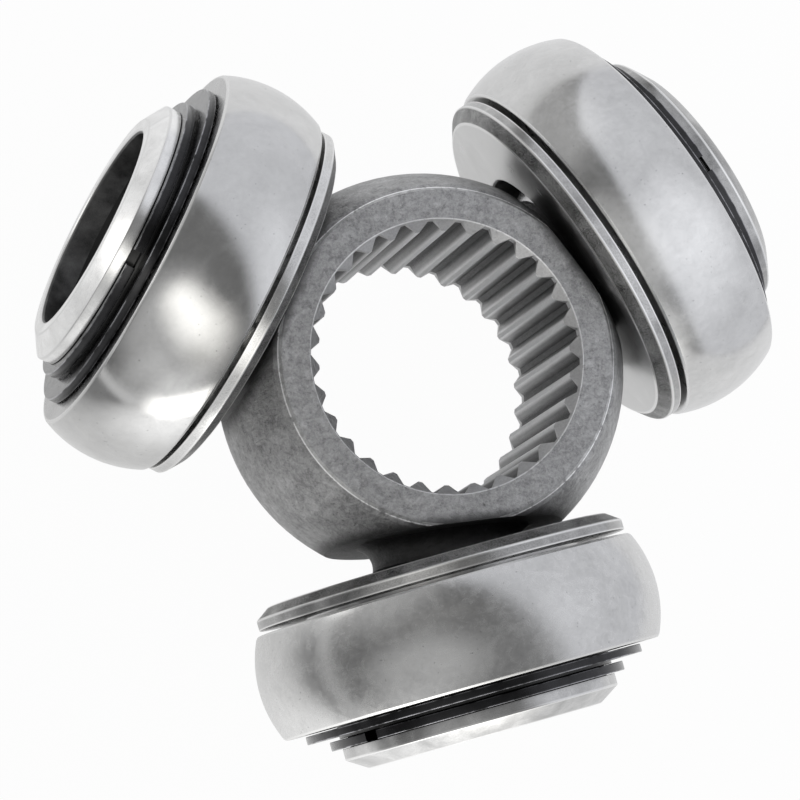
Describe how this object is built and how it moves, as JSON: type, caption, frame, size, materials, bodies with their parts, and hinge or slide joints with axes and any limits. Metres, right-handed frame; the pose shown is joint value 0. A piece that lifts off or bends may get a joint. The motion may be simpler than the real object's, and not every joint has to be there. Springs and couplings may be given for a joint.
{
  "type": "tripod constant velocity joint",
  "caption": "Splined steel spider with three ball-shaped trunnions, each with a flanged ring and a crowned roller on needles.",
  "frame": {"origin": "where the axis of the spline bore meets the axes of the three trunnions", "axes": "+Z along the spline bore, out of the front face; -Y along trunnion 1; the part lies on its three rollers"},
  "size_m": [0.0729, 0.0692, 0.04],
  "materials": {
    "forged_steel": "matt grey, fine grain",
    "ring_steel": "ground",
    "roller_steel": "finely ground",
    "needle_steel": "polished",
    "black_steel": "blackened"
  },
  "bodies": {
    "spider_body": {"spider": "forged_steel"},
    "ring_body_1": {"inner_ring_1": "ring_steel", "snap_ring_1": "black_steel"},
    "roller_body_1": {"outer_roller_1": "roller_steel"},
    "needle_body_1": {"needle_set_1": "needle_steel"},
    "washer_body_1": {"thrust_washer_1": "black_steel"},
    "ring_body_2": {"inner_ring_2": "ring_steel", "snap_ring_2": "black_steel"},
    "roller_body_2": {"outer_roller_2": "roller_steel"},
    "needle_body_2": {"needle_set_2": "needle_steel"},
    "washer_body_2": {"thrust_washer_2": "black_steel"},
    "ring_body_3": {"inner_ring_3": "ring_steel", "snap_ring_3": "black_steel"},
    "roller_body_3": {"outer_roller_3": "roller_steel"},
    "needle_body_3": {"needle_set_3": "needle_steel"},
    "washer_body_3": {"thrust_washer_3": "black_steel"}
  },
  "joints": [
    {"name": "lean_1", "type": "hinge", "parent": "spider_body", "child": "ring_body_1", "pos_m": [0, -0.0256, 0], "axis": [0.2326, 0.0166, 0.9724], "range_deg": [-17.6, 0.7]},
    {"name": "roller_spin_1", "type": "hinge", "parent": "ring_body_1", "child": "roller_body_1", "pos_m": [0, -0.0256, 0], "axis": [0.1422, -0.9892, -0.0342], "continuous": true},
    {"name": "needle_orbit_1", "type": "hinge", "parent": "ring_body_1", "child": "needle_body_1", "pos_m": [0, -0.0256, 0], "axis": [0.1422, -0.9892, -0.0342], "continuous": true},
    {"name": "washer_spin_1", "type": "hinge", "parent": "ring_body_1", "child": "washer_body_1", "pos_m": [0, -0.0256, 0], "axis": [0.1422, -0.9892, -0.0342], "continuous": true},
    {"name": "lean_2", "type": "hinge", "parent": "spider_body", "child": "ring_body_2", "pos_m": [0.02218, 0.0128, 0], "axis": [0.3813, -0.7055, -0.5974], "range_deg": [-12.8, 2.1]},
    {"name": "roller_spin_2", "type": "hinge", "parent": "ring_body_2", "child": "roller_body_2", "pos_m": [0.02218, 0.0128, 0], "axis": [0.8902, 0.4493, 0.0753], "continuous": true},
    {"name": "needle_orbit_2", "type": "hinge", "parent": "ring_body_2", "child": "needle_body_2", "pos_m": [0.02218, 0.0128, 0], "axis": [0.8902, 0.4493, 0.0753], "continuous": true},
    {"name": "washer_spin_2", "type": "hinge", "parent": "ring_body_2", "child": "washer_body_2", "pos_m": [0.02218, 0.0128, 0], "axis": [0.8902, 0.4493, 0.0753], "continuous": true},
    {"name": "lean_3", "type": "hinge", "parent": "spider_body", "child": "ring_body_3", "pos_m": [-0.02218, 0.0128, 0], "axis": [0.4712, 0.7806, -0.4107], "range_deg": [-12.9, 2]},
    {"name": "roller_spin_3", "type": "hinge", "parent": "ring_body_3", "child": "roller_body_3", "pos_m": [-0.02218, 0.0128, 0], "axis": [-0.8426, 0.5315, 0.0866], "continuous": true},
    {"name": "needle_orbit_3", "type": "hinge", "parent": "ring_body_3", "child": "needle_body_3", "pos_m": [-0.02218, 0.0128, 0], "axis": [-0.8426, 0.5315, 0.0866], "continuous": true},
    {"name": "washer_spin_3", "type": "hinge", "parent": "ring_body_3", "child": "washer_body_3", "pos_m": [-0.02218, 0.0128, 0], "axis": [-0.8426, 0.5315, 0.0866], "continuous": true}
  ],
  "couplings": [
    {"joint": "needle_orbit_1", "follows": "roller_spin_1", "ratio": 0.54181},
    {"joint": "needle_orbit_2", "follows": "roller_spin_2", "ratio": 0.54181},
    {"joint": "needle_orbit_3", "follows": "roller_spin_3", "ratio": 0.54181}
  ]
}
